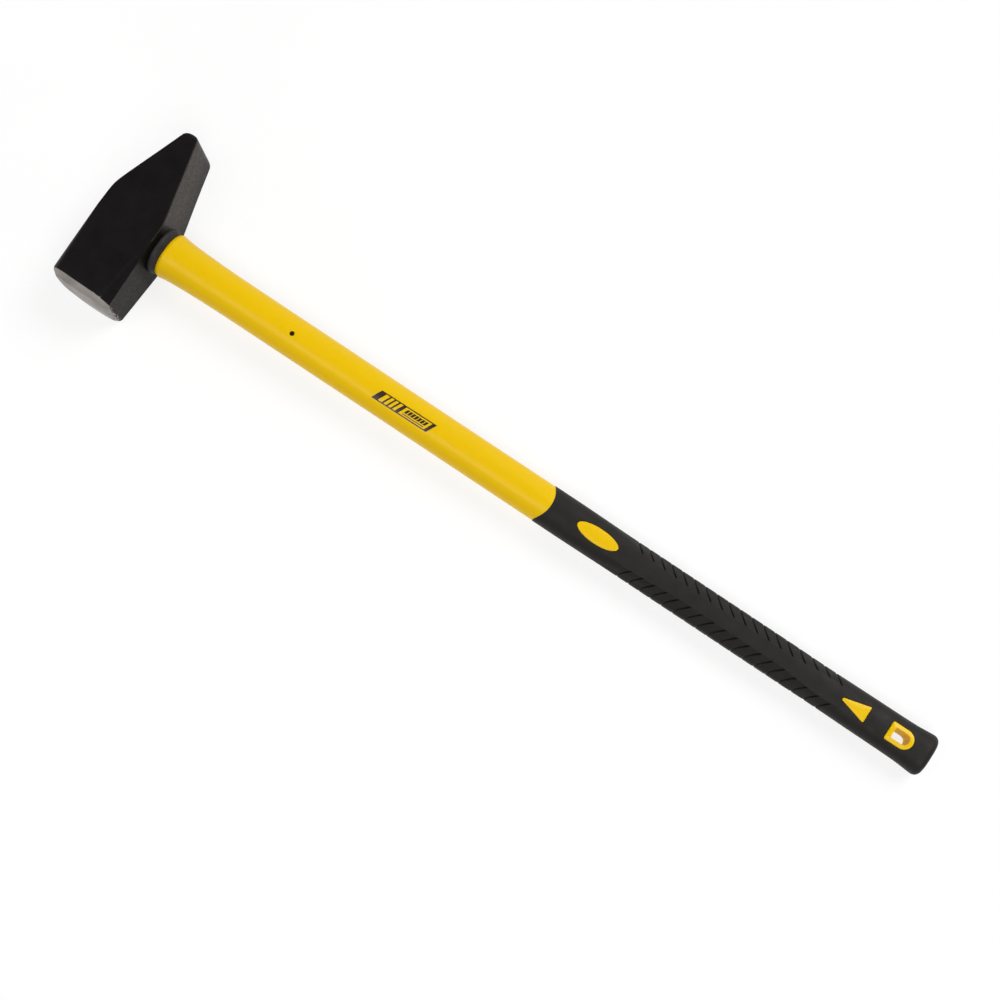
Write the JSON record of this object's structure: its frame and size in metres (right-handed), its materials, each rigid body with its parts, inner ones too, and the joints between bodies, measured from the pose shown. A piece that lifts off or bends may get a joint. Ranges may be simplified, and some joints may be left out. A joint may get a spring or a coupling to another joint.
{
  "type": "sledgehammer",
  "caption": "Cross-peen sledgehammer: octagonal forged head bonded to a plastic-jacketed fibreglass handle with a ribbed rubber grip and a D-shaped hanging hole.",
  "frame": {"origin": "on the lower cheek plane of the head, straight below the middle of the eye; the hammer lies on that cheek", "axes": "+X along the handle from the head to the grip end, +Y from the striking face towards the peen, +Z out of the upper cheek"},
  "size_m": [0.9, 0.183, 0.064],
  "materials": {
    "head_lacquer": "gloss",
    "collar_rubber": "satin",
    "resin": "satin",
    "fibreglass": "satin",
    "yellow_jacket": "satin",
    "grip_rubber": "matte",
    "label_film": "gloss"
  },
  "bodies": {
    "root": {"head": "head_lacquer", "eye_collar": "collar_rubber", "eye_resin": "resin", "fibreglass_core": "fibreglass", "handle_jacket": "yellow_jacket", "grip_sleeve": "grip_rubber", "shaft_decal": "label_film"}
  },
  "joints": []
}
